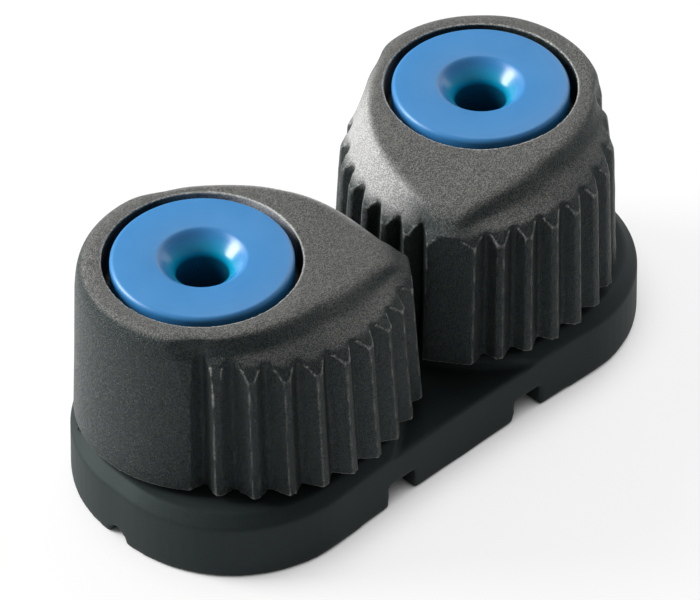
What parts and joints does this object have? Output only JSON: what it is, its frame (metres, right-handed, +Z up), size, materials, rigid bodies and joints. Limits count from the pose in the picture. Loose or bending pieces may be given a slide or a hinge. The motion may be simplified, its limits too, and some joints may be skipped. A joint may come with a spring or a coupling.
{
  "type": "c-cleat",
  "caption": "Cam cleat: spring-closed toothed cams on a low moulded base grip a rope between them. Each turns on balls round a post under a countersunk cap.",
  "frame": {"origin": "midway between the two screw holes, on the base's bottom face", "axes": "+X from the left screw hole to the right one, -Y the tail side, +Y the load side, +Z up from the deck"},
  "size_m": [0.0662, 0.0318, 0.0271],
  "materials": {
    "base": "moulded matte, carbon-filled nylon",
    "cam": "satin and finely speckled, carbon-filled nylon",
    "cap": "glossy blue",
    "spring": "drawn stainless wire",
    "ring": "smooth acetal",
    "ball": "smooth bearing plastic"
  },
  "bodies": {
    "base": {"base": "base", "cap_left": "cap", "cap_right": "cap", "spring_left": "spring", "spring_right": "spring", "ball_ring_left": "ring", "ball_ring_right": "ring"},
    "cam_left": {"cam_left": "cam"},
    "cam_right": {"cam_right": "cam"},
    "balls_left": {"upper_balls_left": "ball", "lower_balls_left": "ball"},
    "balls_right": {"upper_balls_right": "ball", "lower_balls_right": "ball"}
  },
  "joints": [
    {"name": "cam_left_turn", "type": "hinge", "parent": "base", "child": "cam_left", "pos_m": [-0.019, 0, 0], "axis": [0, 0, -1], "range_deg": [0, 60], "stiffness_Nm_per_rad": 0.05, "springref_deg": -28.65, "deforming": ["spring_left"]},
    {"name": "cam_right_turn", "type": "hinge", "parent": "base", "child": "cam_right", "pos_m": [0.019, 0, 0], "axis": [0, 0, 1], "range_deg": [0, 60], "stiffness_Nm_per_rad": 0.05, "springref_deg": -28.65, "deforming": ["spring_right"]},
    {"name": "balls_left_roll", "type": "hinge", "parent": "base", "child": "balls_left", "pos_m": [-0.019, 0, 0], "axis": [0, 0, -1], "range_deg": [0, 37]},
    {"name": "balls_right_roll", "type": "hinge", "parent": "base", "child": "balls_right", "pos_m": [0.019, 0, 0], "axis": [0, 0, 1], "range_deg": [0, 37]}
  ],
  "couplings": [
    {"joint": "balls_left_roll", "follows": "cam_left_turn", "ratio": 0.6105},
    {"joint": "balls_right_roll", "follows": "cam_right_turn", "ratio": 0.6105}
  ]
}
